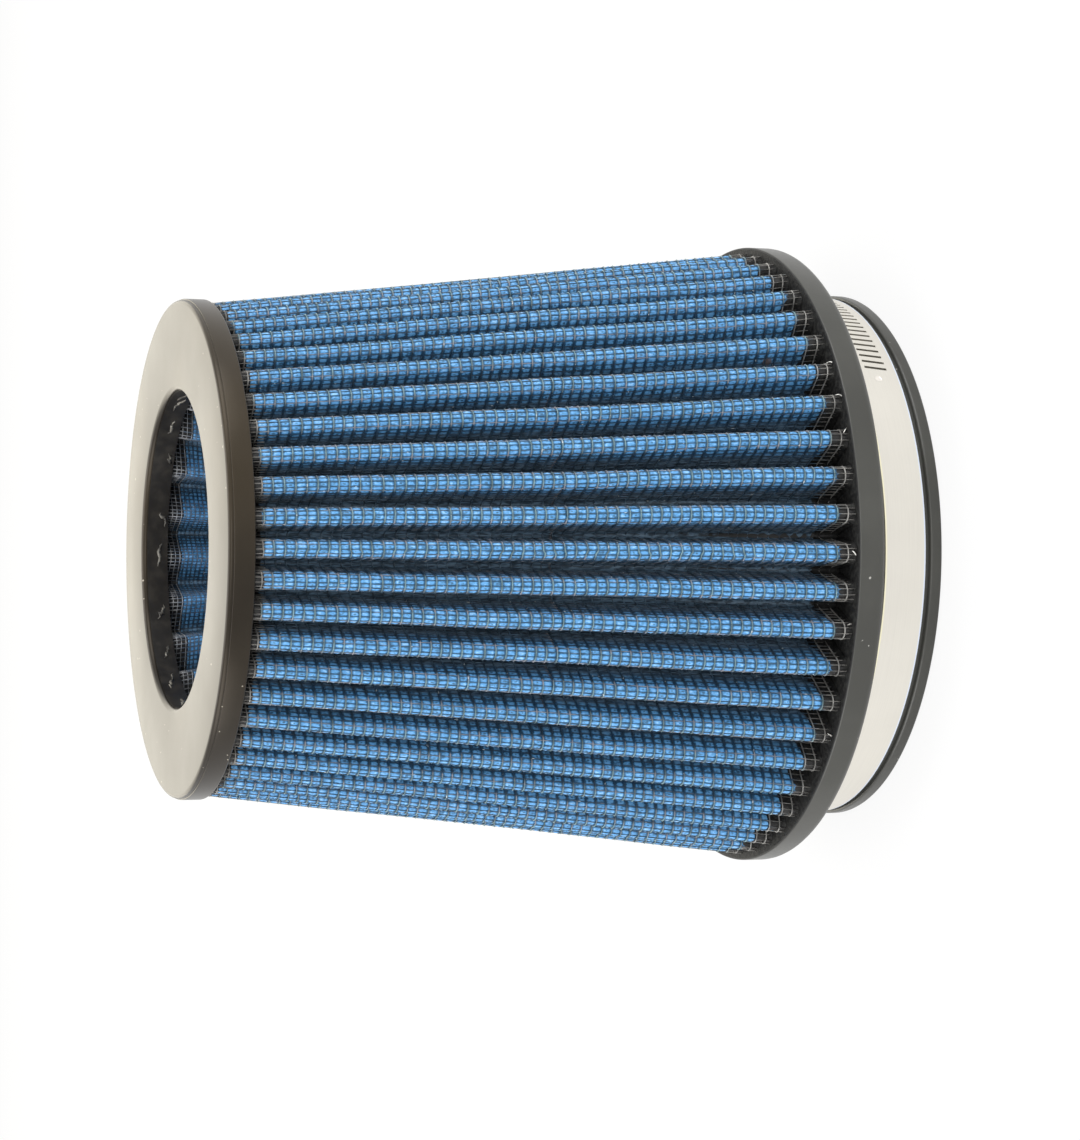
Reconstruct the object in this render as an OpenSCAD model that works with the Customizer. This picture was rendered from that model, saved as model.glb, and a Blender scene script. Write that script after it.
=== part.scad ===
// Conical pleated air filter with an inverted nose cone and a worm-drive clamp on its neck.
// The axis is +Z. The mouth of the neck stands on Z = 0 and the nose ring is on top.
// Each pleated wall is a sandwich: a wire screen, the oiled gauze and a backing screen.
// Both ends of a sandwich are potted in the black urethane mouldings.

/* [Neck] */
// Inside diameter of the neck, which slips over the intake tube
neck_bore_d = 152.4; // [140:0.1:156]
// Wall of the neck under the clamp band
neck_wall = 3.7; // [2.5:0.1:6]
// Height of the neck from its mouth to the underside of the flange
neck_len = 24; // [23:0.5:50]
// How far the bead at the mouth stands out from the neck
lip_rise = 1.4; // [0.6:0.1:3]
// Height of the bead at the mouth
lip_h = 3.8; // [2:0.1:4.5]
// How far the ledge that stops the tube stands in from the neck's bore
stop_rise = 1.3; // [0.5:0.1:6]

/* [Base flange] */
// Outer diameter of the base flange
base_d = 190.5; // [188.5:0.5:210]
// Thickness of the base flange at its rim
flange_t = 8.5; // [7:0.1:16]
// Rounding of the flange's lower edge
flange_round = 2.5; // [0.5:0.1:3]

/* [Nose ring] */
// Outer diameter of the nose ring
nose_d = 147.2; // [146:0.1:160]
// Diameter of the hole in the nose ring
nose_hole_d = 93.6; // [84:0.1:94]
// Thickness of the nose ring
nose_t = 7.6; // [6:0.1:14]
// Rounding of the ring's outer upper edge
nose_round = 1.6; // [0.4:0.1:2.5]
// Rounding of the hole's upper edge
hole_round = 1.4; // [0.4:0.1:2.5]

/* [Pleated wall] */
// Length of the pleats between the flange and the nose ring
wall_len = 170; // [130:1:260]
// Number of pleats round the wall
pleats = 51; // [30:1:52]
// Diameter over the outer folds at the flange
base_fold_d = 187; // [184:0.5:188]
// Diameter over the outer folds at the nose ring
nose_fold_d = 145; // [143:0.5:145.4]
// Depth of the pleats at the flange
base_pleat_depth = 16; // [11:0.1:16]
// Depth of the pleats at the nose ring
nose_pleat_depth = 12.6; // [9:0.1:13]
// Radius of a fold at the middle of the sandwich
fold_r = 1.7; // [1.3:0.05:1.9]

/* [Inverted cone] */
// Depth of the cone's pleats below the nose ring
cone_len = 105; // [60:1:130]
// Number of pleats round the cone
cone_pleats = 22; // [14:1:24]
// Diameter inside the inner folds at the nose ring
cone_mouth_d = 96; // [95:0.1:97]
// Diameter inside the inner folds at the closed tip
cone_tip_d = 48; // [44:0.5:80]
// Depth of the cone's pleats
cone_pleat_depth = 10; // [7:0.1:10]
// Radius of a fold of the cone at the middle of the sandwich
cone_fold_r = 1.25; // [1.15:0.05:1.4]
// Thickness of the cap that closes the cone's tip
cap_t = 9; // [6:0.1:16]
// Margin of the cap round the outer folds of the cone
cap_margin = 3; // [1.5:0.1:8]

/* [Filter media] */
// Thickness of a wire screen over its crossing wires
screen_t = 0.5; // [0.3:0.05:0.6]
// Thickness of the oiled gauze
gauze_t = 1.2; // [0.8:0.05:1.3]
// How deep the ends of the pleats are potted in the urethane
potting = 4.5; // [2:0.1:5]

/* [Clamp band] */
// Width of the clamp band
band_w = 12.7; // [9:0.1:16]
// Thickness of the clamp band
band_t = 0.7; // [0.5:0.05:1.2]
// Gap between the bead and the clamp band
band_gap = 1.3; // [1.2:0.1:3]
// Length of a worm slot
slot_len = 6.9; // [4:0.1:8]
// Width of a worm slot
slot_w = 0.9; // [0.5:0.05:1.3]
// Distance from slot to slot, which is also the pitch of the worm
slot_pitch = 2.7; // [2:0.05:4]
// Lean of the slots, which follows the worm
slot_lean = 8.3; // [0:0.1:12]
// Angle of the first slot round the neck
first_slot_a = -46.9; // [-90:0.1:0]
// Angle that the free end of the band reaches past the housing
tail_a = 17; // [12:0.5:40]

/* [Worm housing] */
// Angle of the housing round the neck
housing_a = 62; // [40:1:90]
// Length of the housing along the band
housing_len = 13; // [11:0.1:20]
// Thickness of the housing's sheet metal
housing_sheet = 0.9; // [0.7:0.05:1.2]
// Thickness of the two end plates that carry the worm
end_plate_t = 1.3; // [1:0.1:2]

/* [Worm screw] */
// Outer diameter of the worm over its thread
worm_d = 8; // [6.5:0.1:9]
// Diameter of the worm's two journals
journal_d = 5.6; // [4:0.1:6]
// Radial play of a journal in its end plate
journal_play = 0.06; // [0.02:0.01:0.1]
// Width across the flats of the worm's head
head_af = 7; // [5.5:0.1:7.2]
// Height of the worm's head
head_len = 5; // [3:0.1:8]
// Diameter of the collar under the head
collar_d = 8.2; // [6.8:0.1:8.3]
// Thickness of the collar under the head
collar_t = 1.2; // [0.8:0.1:2]
// Width of the screwdriver slot
driver_slot_w = 1.3; // [0.8:0.1:2]
// Depth of the screwdriver slot
driver_slot_deep = 2; // [1:0.1:2.5]

/* [Hidden] */
$fn = 96;

// Levels along the axis
flange_z = neck_len + flange_t;
nose_z = flange_z + wall_len;
top_z = nose_z + nose_t;
cap_z = nose_z - cone_len;
band_z = lip_h + band_gap;
band_mid_z = band_z + band_w / 2;

// Radii of the mouldings
bore_r = neck_bore_d / 2;
neck_r = bore_r + neck_wall;
lip_r = neck_r + lip_rise;
stop_r = bore_r - stop_rise;
base_r = base_d / 2;
nose_r = nose_d / 2;
hole_r = nose_hole_d / 2;
lip_round = 0.8;
rim_round = 0.5;
ring_back_round = 0.6;

// The sandwich of the media
media_t = 2 * screen_t + gauze_t;
mid_to_face = media_t / 2;
mid_to_gauze = gauze_t / 2;
crest_points = 4;
cone_crest_points = 3;
valley_points = 2;

// Outer and inner fold radii of the pleated wall at the levels where it meets the urethane
wall_low = [flange_z, base_fold_d / 2, base_fold_d / 2 - base_pleat_depth];
wall_high = [nose_z, nose_fold_d / 2, nose_fold_d / 2 - nose_pleat_depth];
wall_phase = -90;

// The same for the inverted cone, whose inner folds show through the nose
cone_low = [cap_z, cone_tip_d / 2 + cone_pleat_depth, cone_tip_d / 2];
cone_high = [nose_z, cone_mouth_d / 2 + cone_pleat_depth, cone_mouth_d / 2];
cone_phase = 92.5 - 180 / cone_pleats;
cap_r = cone_low[1] + cap_margin;

// The clamp: the slotted end of the band laps over the housing's floor and under the worm
band_r = neck_r + band_t;
floor_r = band_r + housing_sheet;
lap_play = 0.1;
lap_r = floor_r + lap_play;
tail_r = band_r + lap_play;
worm_play = 0.3;
worm_r = lap_r + band_t + worm_play + worm_d / 2;
half_housing_a = atan(housing_len / 2 / floor_r);
start_a = housing_a - half_housing_a - 1;
ramp_a = 10;
lap_step_a = 1.25;
slot_step_a = slot_pitch / band_r * 180 / PI;
tail_end_a = housing_a + tail_a;

// The housing's section
channel_r = worm_d / 2 + 0.35;
shell_r = channel_r + housing_sheet;
room_half_w = band_w / 2 + 0.3;
shoulder_h = 2.4;
inner_share = 0.9;
end_play = 0.25;
worm_len = housing_len - 2 * end_plate_t - 2 * end_play;

// Radii of a sandwich at height z on the straight line between its two ends
function at_height(low, high, z) =
    let (share = (z - low[0]) / (high[0] - low[0]))
    [z, low[1] + share * (high[1] - low[1]), low[2] + share * (high[2] - low[2])];

// Centre radii of the outer and the inner fold, given as [height, outer face, inner face]
function fold_centres(section, bend) =
    [section[1] - mid_to_face - bend, section[2] + mid_to_face + bend];

// Direction of the straight wall between two folds, measured from the outer fold's radius
function wall_angle(centres, bend, count) =
    let (
        half = 180 / count,
        dx = centres[1] * cos(half) - centres[0],
        dy = centres[1] * sin(half),
        span = sqrt(dx * dx + dy * dy)
    )
    atan2(dy, dx) - acos(2 * bend / span);

// Corners of one fold: tangents to its arc, so that the sheet keeps its thickness
function fold_corners(centre, bend, at, face, turn, corners, z) = [
    for (k = [0 : corners - 1])
        let (
            lean = turn * (2 * k + 1 - corners) / corners,
            reach = bend / cos(turn / corners)
        )
        [
            centre * cos(at) + reach * cos(at + face + lean),
            centre * sin(at) + reach * sin(at + face + lean),
            z
        ]
];

// One closed line round the pleats at one height, offset from the middle of the sandwich
function pleat_line(section, bend, count, phase, offset, outer_corners, inner_corners) =
    let (
        centres = fold_centres(section, bend),
        turn = wall_angle(centres, bend, count)
    )
    [
        for (i = [0 : count - 1])
            let (crest = phase + 360 * i / count)
            each concat(
                fold_corners(centres[0], bend + offset, crest, 0, turn, outer_corners, section[0]),
                fold_corners(
                    centres[1], bend - offset, crest + 180 / count, 180,
                    180 / count - turn, inner_corners, section[0]
                )
            )
    ];

// Two triangles between matching edges of two lines of n points that start at a and b
function strip(a, b, n) = [
    for (k = [0 : n - 1])
        let (next = (k + 1) % n)
        each [[a + k, b + k, b + next], [a + k, b + next, a + next]]
];

// The same faces turned over, so that a sheet's back lies exactly on the next sheet's front
function back_strip(a, b, n) = [for (face = strip(a, b, n)) [face[0], face[2], face[1]]];

// A pleated sheet between two offsets from the middle of its sandwich
module pleated_sheet(low, high, bend, count, phase, outside, inside, outer_corners, inner_corners) {
    line_low_out = pleat_line(low, bend, count, phase, outside, outer_corners, inner_corners);
    line_low_in = pleat_line(low, bend, count, phase, inside, outer_corners, inner_corners);
    line_high_out = pleat_line(high, bend, count, phase, outside, outer_corners, inner_corners);
    line_high_in = pleat_line(high, bend, count, phase, inside, outer_corners, inner_corners);
    n = len(line_low_out);
    polyhedron(
        points = concat(line_low_out, line_high_out, line_high_in, line_low_in),
        faces = concat(
            strip(0, n, n), strip(n, 2 * n, n), back_strip(3 * n, 2 * n, n), strip(3 * n, 0, n)
        )
    );
}

// A sheet of the outer wall, potted at both ends
module wall_sheet(outside, inside) {
    pleated_sheet(
        at_height(wall_low, wall_high, flange_z - potting),
        at_height(wall_low, wall_high, nose_z + potting),
        fold_r, pleats, wall_phase, outside, inside, crest_points, valley_points
    );
}

// A sheet of the inverted cone, potted at both ends
module cone_sheet(outside, inside) {
    pleated_sheet(
        at_height(cone_low, cone_high, cap_z - potting),
        at_height(cone_low, cone_high, nose_z + potting),
        cone_fold_r, cone_pleats, cone_phase, outside, inside, valley_points, cone_crest_points
    );
}

// A corner of a profile rounded towards +X and, with up = 1, towards +Y
module round_corner(x, y, r, up) {
    difference() {
        translate([x - r, up > 0 ? y - r : y])
            square([r, r]);
        translate([x - r, up > 0 ? y - r : y + r])
            circle(r);
    }
}

module base_profile() {
    difference() {
        union() {
            translate([bore_r, 0])
                square([lip_r - bore_r, lip_h]);
            translate([bore_r, 0])
                square([neck_r - bore_r, flange_z]);
            translate([stop_r, neck_len])
                square([base_r - stop_r, flange_t]);
        }
        round_corner(base_r, neck_len, flange_round, 0);
        round_corner(base_r, flange_z, rim_round, 1);
        round_corner(lip_r, lip_h, lip_round, 1);
        round_corner(lip_r, 0, lip_round, 0);
    }
}

module base_boot() {
    color([0.16, 0.16, 0.15])
        difference() {
            rotate_extrude()
                base_profile();
            wall_sheet(mid_to_face, -mid_to_face);
        }
}

module nose_profile() {
    difference() {
        translate([hole_r, nose_z])
            square([nose_r - hole_r, nose_t]);
        round_corner(nose_r, top_z, nose_round, 1);
        round_corner(nose_r, nose_z, ring_back_round, 0);
        translate([2 * hole_r, 0])
            mirror([1, 0])
            round_corner(hole_r, top_z, hole_round, 1);
    }
}

module nose_ring() {
    color([0.24, 0.22, 0.19])
        difference() {
            rotate_extrude()
                nose_profile();
            wall_sheet(mid_to_face, -mid_to_face);
            cone_sheet(mid_to_face, -mid_to_face);
        }
}

module outer_screen() {
    color([0.45, 0.52, 0.55])
        wall_sheet(mid_to_face, mid_to_gauze);
}

module outer_gauze() {
    color([0.25, 0.5, 0.78])
        wall_sheet(mid_to_gauze, -mid_to_gauze);
}

module outer_backing_screen() {
    color([0.42, 0.44, 0.45])
        wall_sheet(-mid_to_gauze, -mid_to_face);
}

module cone_screen() {
    color([0.45, 0.52, 0.55])
        cone_sheet(-mid_to_gauze, -mid_to_face);
}

module cone_gauze() {
    color([0.22, 0.38, 0.62])
        cone_sheet(mid_to_gauze, -mid_to_gauze);
}

module cone_backing_screen() {
    color([0.42, 0.44, 0.45])
        cone_sheet(mid_to_face, mid_to_gauze);
}

module cone_end_cap() {
    color([0.16, 0.16, 0.15])
        difference() {
            translate([0, 0, cap_z - cap_t])
                rotate_extrude()
                difference() {
                    square([cap_r, cap_t]);
                    round_corner(cap_r, cap_t, rim_round, 1);
                    round_corner(cap_r, 0, rim_round, 0);
                }
            cone_sheet(mid_to_face, -mid_to_face);
        }
}

// Inner radius of the band's slotted end: up the ramp, through the housing and down on the band
function smooth(share) =
    let (s = min(1, max(0, share)))
    s * s * (3 - 2 * s);
function lap_radius(a) =
    a < housing_a
        ? neck_r + (lap_r - neck_r) * smooth((a - start_a + ramp_a + 1) / ramp_a)
        : lap_r + (tail_r - lap_r) * smooth((a - housing_a - half_housing_a - 1) / (ramp_a / 2));

module lap_strip() {
    first_a = start_a - ramp_a - 2;
    steps = ceil((tail_end_a - first_a) / lap_step_a);
    angles = [for (k = [0 : steps]) first_a + (tail_end_a - first_a) * k / steps];
    translate([0, 0, band_z])
        linear_extrude(band_w)
        polygon(concat(
            [for (a = angles) lap_radius(a) * [cos(a), sin(a)]],
            [for (k = [steps : -1 : 0]) (lap_radius(angles[k]) + band_t) * [cos(angles[k]), sin(angles[k])]]
        ));
}

// The closed part of the band leaves out the angles where only the ramp runs
module band_ring() {
    far = 2 * base_r;
    ramp_start_a = start_a - ramp_a - 1;
    translate([0, 0, band_z])
        difference() {
            cylinder(h = band_w, r = band_r);
            translate([0, 0, -1])
                cylinder(h = band_w + 2, r = neck_r);
            translate([0, 0, -1])
                linear_extrude(band_w + 2)
                polygon([
                    [0, 0], far * [cos(ramp_start_a), sin(ramp_start_a)],
                    far * [cos(start_a), sin(start_a)]
                ]);
        }
}

module worm_slots() {
    for (a = [first_slot_a : slot_step_a : tail_end_a - slot_step_a])
        rotate([0, 0, a])
            translate([lap_radius(a) + band_t / 2, 0, band_mid_z])
            rotate([-slot_lean, 0, 0])
            cube([2.4 * band_t, slot_w, slot_len], center = true);
}

module clamp_band() {
    color([0.86, 0.85, 0.82])
        difference() {
            union() {
                band_ring();
                lap_strip();
            }
            worm_slots();
        }
}

// Places its children with +X outwards, +Y along the band and the worm's axis at their origin
module at_worm() {
    rotate([0, 0, housing_a])
        translate([worm_r, 0, band_mid_z])
        children();
}

// Lays a section that is drawn as [outwards, across the band] along the band
module along_band(from_y, length) {
    translate([0, from_y + length, 0])
        rotate([90, 0, 0])
        linear_extrude(length)
        children();
}

module housing_section(half_w, round_r, floor_x) {
    shoulder_x = floor_x + shoulder_h;
    circle(round_r);
    polygon([
        [floor_x, -half_w], [floor_x, half_w], [shoulder_x, half_w],
        [0, inner_share * round_r], [0, -inner_share * round_r], [shoulder_x, -half_w]
    ]);
}

module clamp_housing() {
    floor_x = band_r - worm_r - 1;
    plate_x = lap_r + band_t + worm_play / 2 - worm_r;
    color([0.8, 0.79, 0.76]) {
        // The floor is rolled to the band that it is welded on
        difference() {
            at_worm()
                along_band(-housing_len / 2, housing_len)
                housing_section(room_half_w + housing_sheet, shell_r, floor_x);
            cylinder(h = neck_len, r = band_r);
            difference() {
                at_worm()
                    along_band(-housing_len, 2 * housing_len)
                    housing_section(room_half_w, channel_r, floor_x);
                cylinder(h = neck_len, r = floor_r);
            }
        }
        // End plates that carry the worm above the band's slotted end
        for (y = [-housing_len / 2, housing_len / 2 - end_plate_t])
            at_worm()
                along_band(y, end_plate_t)
                difference() {
                    circle(channel_r + housing_sheet / 2);
                    translate([plate_x - worm_d, -worm_d])
                        square([worm_d, 2 * worm_d]);
                    circle(journal_d / 2 + journal_play);
                }
    }
}

module clamp_screw() {
    journal_len = worm_len / 2 + end_play + end_plate_t + end_play;
    color([0.78, 0.76, 0.7])
        at_worm()
        rotate([-90, 0, 0]) {
            translate([0, 0, -worm_len / 2])
                cylinder(h = worm_len, r = worm_d / 2);
            translate([0, 0, -journal_len])
                cylinder(h = 2 * journal_len, r = journal_d / 2);
            // The riveted end behind the far plate
            translate([0, 0, -journal_len - collar_t])
                cylinder(h = collar_t, r = journal_d / 2 + 0.6);
            translate([0, 0, journal_len])
                difference() {
                    union() {
                        cylinder(h = collar_t, r = collar_d / 2);
                        cylinder(h = collar_t + head_len, r = head_af / 2 / cos(30), $fn = 6);
                    }
                    translate([0, 0, collar_t + head_len])
                        cube([2 * head_af, driver_slot_w, 2 * driver_slot_deep], center = true);
                }
        }
}

base_boot();
nose_ring();
outer_screen();
outer_gauze();
outer_backing_screen();
cone_screen();
cone_gauze();
cone_backing_screen();
cone_end_cap();
clamp_band();
clamp_housing();
clamp_screw();
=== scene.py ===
"""Finish of a conical pleated air filter, modelled round its fixed frame.

The pleated gauze with its swollen cells, the wire screens over and under it, the cast mouldings,
the urethane that has crept up the folds and the worm of the clamp are modelled here. All lengths
are in metres.
"""

import math
from collections import namedtuple

import bpy
import numpy as np
from bpy.props import FloatProperty, FloatVectorProperty, IntProperty, PointerProperty
from mathutils import Matrix, Vector


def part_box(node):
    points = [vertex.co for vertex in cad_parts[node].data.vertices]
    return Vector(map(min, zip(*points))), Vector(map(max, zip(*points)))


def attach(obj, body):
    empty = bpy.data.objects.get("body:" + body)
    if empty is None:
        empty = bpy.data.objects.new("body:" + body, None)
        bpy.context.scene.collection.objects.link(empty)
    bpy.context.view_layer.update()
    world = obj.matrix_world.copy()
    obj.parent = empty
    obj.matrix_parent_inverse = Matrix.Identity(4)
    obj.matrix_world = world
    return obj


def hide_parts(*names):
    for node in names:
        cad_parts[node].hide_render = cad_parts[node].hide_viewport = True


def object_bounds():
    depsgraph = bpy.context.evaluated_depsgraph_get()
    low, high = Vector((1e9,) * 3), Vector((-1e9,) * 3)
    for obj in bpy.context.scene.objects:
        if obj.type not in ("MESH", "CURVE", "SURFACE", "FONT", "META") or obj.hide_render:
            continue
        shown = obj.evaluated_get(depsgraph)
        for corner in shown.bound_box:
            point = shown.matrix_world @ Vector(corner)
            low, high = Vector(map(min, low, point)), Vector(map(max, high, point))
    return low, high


bl_info = {
    "name": "Pleated cone filter",
    "version": (1, 0, 0),
    "blender": (4, 5, 0),
    "location": "3D View > Sidebar > Filter",
    "description": "Models the pleated media, the wire screens and the clamp of a cone filter",
    "category": "Add Mesh",
}

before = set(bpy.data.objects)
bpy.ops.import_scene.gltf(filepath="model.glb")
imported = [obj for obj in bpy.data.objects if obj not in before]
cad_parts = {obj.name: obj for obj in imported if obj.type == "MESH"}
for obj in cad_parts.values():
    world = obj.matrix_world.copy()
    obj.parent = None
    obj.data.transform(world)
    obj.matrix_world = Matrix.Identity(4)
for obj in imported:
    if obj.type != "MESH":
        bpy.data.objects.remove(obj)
CAD_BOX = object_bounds()

MM = 0.001
BASE_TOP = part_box("base_boot")[1].z
NOSE_BOTTOM, NOSE_TOP = (corner.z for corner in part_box("nose_ring"))
CAP_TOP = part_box("cone_end_cap")[1].z
BASE_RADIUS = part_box("base_boot")[1].x
NOSE_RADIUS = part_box("nose_ring")[1].x
BAND_BOTTOM, BAND_TOP = (corner.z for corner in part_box("clamp_band"))
BORE_RADIUS = 76.2 * MM
NECK_RADIUS = 79.9 * MM
NECK_TOP = 24 * MM
HOLE_RADIUS = 46.8 * MM
SPIN_STEPS = 240

LENGTH = {"unit": "LENGTH"}
COLOUR = {"subtype": "COLOR", "size": 3, "min": 0, "max": 1}


class FilterSizes(bpy.types.PropertyGroup):
    """Sizes of the pleated media and its screens."""

    pleats: IntProperty(
        name="Pleats", description="Folds round the outer wall", default=51, min=30, max=52)
    cone_pleats: IntProperty(
        name="Cone pleats", description="Folds round the inverted cone", default=22, min=14, max=24)
    cells: IntProperty(
        name="Wires round the wall", description="Upright wires of the outer screen",
        default=811, min=400, max=900)
    cone_cells: IntProperty(
        name="Wires round the cone", description="Upright wires of the cone's screen",
        default=341, min=120, max=400)
    mesh_pitch: FloatProperty(
        name="Ring pitch", description="Distance from one ring wire to the next",
        default=3.0 * MM, **LENGTH)
    cone_pitch: FloatProperty(
        name="Ring pitch of the cone", description="The cone's wire cloth is finer than the wall's",
        default=1.35 * MM, **LENGTH)
    ring_radius: FloatProperty(
        name="Ring wire radius", description="Radius of a wire that runs round the pleats",
        default=0.26 * MM, **LENGTH)
    upright_radius: FloatProperty(
        name="Upright wire radius", description="Radius of a wire that runs along the pleats",
        default=0.12 * MM, **LENGTH)
    pillow: FloatProperty(
        name="Pillow", description="How far the gauze swells out between the wires",
        default=0.42 * MM, **LENGTH)
    climb_crest: FloatProperty(
        name="Climb at the crests", description="How high the urethane soaks a crest at the base",
        default=5.2 * MM, **LENGTH)
    climb_valley: FloatProperty(
        name="Climb in the folds", description="How high the urethane soaks a fold at the base",
        default=7.4 * MM, **LENGTH)
    nose_climb: FloatProperty(
        name="Climb at the nose", description="How far the urethane soaks the media at the nose",
        default=2.4 * MM, **LENGTH)


class FilterColours(bpy.types.PropertyGroup):
    """Colours of the finishes."""

    gauze: FloatVectorProperty(
        name="Gauze", description="Oiled cotton gauze", default=(0.11, 0.37, 0.74), **COLOUR)
    # Painted shade: the gauze right beside a wire is painted this darker blue.
    gauze_shaded_edge: FloatVectorProperty(
        name="Gauze under the wires", description="Gauze pressed down beside a wire",
        default=(0.035, 0.13, 0.25), **COLOUR)
    # Painted highlight: the shine on a swollen cell is painted in this pale blue.
    gauze_painted_gleam: FloatVectorProperty(
        name="Gleam of the gauze", description="Oil that shines on a swollen cell",
        default=(0.33, 0.62, 0.92), **COLOUR)
    ring_wire: FloatVectorProperty(
        name="Ring wire", description="Coated wire round the pleats, pale over the gauze",
        default=(0.20, 0.33, 0.36), **COLOUR)
    upright_wire: FloatVectorProperty(
        name="Upright wire", description="Coated wire along the pleats, which the oil tints blue",
        default=(0.035, 0.11, 0.19), **COLOUR)
    # Painted highlight: the wires just beside a crest are painted this paler grey, where grazing light
    # pales them.
    crest_edge_highlight_wire: FloatVectorProperty(
        name="Wire at the flanks", description="Wire beside a crest, grey with dust",
        default=(0.30, 0.30, 0.33), **COLOUR)
    bare_wire: FloatVectorProperty(
        name="Bare wire", description="Wire that stands free of the gauze",
        default=(0.34, 0.33, 0.31), **COLOUR)
    # Painted light: the cone's bare wire is painted paler than the wall's, to make up for the shade in
    # the nose hole.
    cone_bare_wire_lightened: FloatVectorProperty(
        name="Bare wire of the cone", description="Paler wire under the nose ring",
        default=(0.62, 0.63, 0.65), **COLOUR)
    urethane: FloatVectorProperty(
        name="Base urethane", description="Matte moulding of the base",
        default=(0.043, 0.043, 0.037), **COLOUR)
    nose_urethane: FloatVectorProperty(
        name="Nose urethane", description="Glossier moulding of the nose",
        default=(0.011, 0.009, 0.007), **COLOUR)
    stainless: FloatVectorProperty(
        name="Stainless band", description="Satin stainless steel",
        default=(0.80, 0.77, 0.70), **COLOUR)
    screw_steel: FloatVectorProperty(
        name="Worm steel", description="Plated steel of the worm",
        default=(0.66, 0.63, 0.57), **COLOUR)


class StudioSettings(bpy.types.PropertyGroup):
    """The camera's lens and place."""

    focal_px: FloatProperty(
        name="Focal length", description="Focal length in pixels of the picture", default=3100,
        subtype="PIXEL")
    distance: FloatProperty(
        name="Distance", description="From the camera to the filter's middle",
        default=947.1 * MM, **LENGTH)
    elevation: FloatProperty(
        name="Elevation", description="How far the camera looks down on the nose",
        default=math.radians(18.54), subtype="ANGLE")
    roll: FloatProperty(
        name="Roll", description="Small roll of the picture besides its quarter turn",
        default=math.radians(0.35), subtype="ANGLE")
    offset_up: FloatProperty(
        name="Offset up", description="Camera offset along the filter's axis",
        default=3.56 * MM, **LENGTH)
    offset_side: FloatProperty(
        name="Offset sideways", description="Camera offset across the filter's axis",
        default=5.40 * MM, **LENGTH)


def sizes():
    return bpy.context.scene.filter_sizes


def colours():
    return bpy.context.scene.filter_colours


# Pleat geometry, the same as in the frame

# phase is the angle of the first crest, bend is a fold's radius at the middle of the media, and
# half is half the media's thickness. low and high each hold a height and the radii of the outer and
# inner folds there. At the offset reference, equal turns are equal steps along the folded sheet.
Wall = namedtuple("Wall", "pleats phase bend half low high reference stray")

MEDIA_HALF = 1.1 * MM
GAUZE_HALF = 0.6 * MM
CONE_CLIMB = 5.0 * MM
RING_DEPTH = 0.84 * MM
UPRIGHT_DEPTH = 0.78 * MM
STRAY_WAVES = np.array([1.3, 3.7, 1.1, 4.9])


def stray_of(pleats, seed, sideways, outwards):
    """Small faults of each fold: amounts and phases of its sideways and outwards bows."""
    draw = np.random.default_rng(seed)
    amounts = draw.normal(0, 1, (pleats, 4))
    phases = draw.uniform(0, 2 * math.pi, (pleats, 4))
    return amounts * np.array([sideways, sideways / 2, outwards, outwards / 2]), phases


def outer_wall():
    count = sizes().pleats
    return Wall(
        pleats=count, phase=math.radians(-90), bend=1.7 * MM, half=MEDIA_HALF,
        low=(BASE_TOP, 93.5 * MM, 77.5 * MM), high=(NOSE_BOTTOM, 72.5 * MM, 59.9 * MM),
        reference=MEDIA_HALF,
        stray=stray_of(count, seed=11, sideways=0.10 * MM, outwards=0.09 * MM))


def nose_cone():
    count = sizes().cone_pleats
    return Wall(
        pleats=count, phase=math.radians(92.5 - 180 / count), bend=1.25 * MM, half=MEDIA_HALF,
        low=(CAP_TOP, 34 * MM, 24 * MM), high=(NOSE_BOTTOM, 58 * MM, 48 * MM),
        reference=-MEDIA_HALF,
        stray=stray_of(count, seed=12, sideways=0.12 * MM, outwards=0.05 * MM))


def share_of(wall, z):
    return (z - wall.low[0]) / (wall.high[0] - wall.low[0])


def stray_at(wall, pleat, z, near_crest):
    """Sideways and outwards bow of a fold, which fades towards the valleys and the potted ends."""
    share = share_of(wall, z)
    fade = near_crest * np.sqrt(np.clip(np.sin(math.pi * np.clip(share, 0, 1)), 0, 1))
    amounts, phases = (table[pleat] for table in wall.stray)
    waves = amounts * np.sin(2 * math.pi * share[..., None] * STRAY_WAVES + phases)
    return (waves[..., 0] + waves[..., 1]) * fade, (waves[..., 2] + waves[..., 3]) * fade


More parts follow.
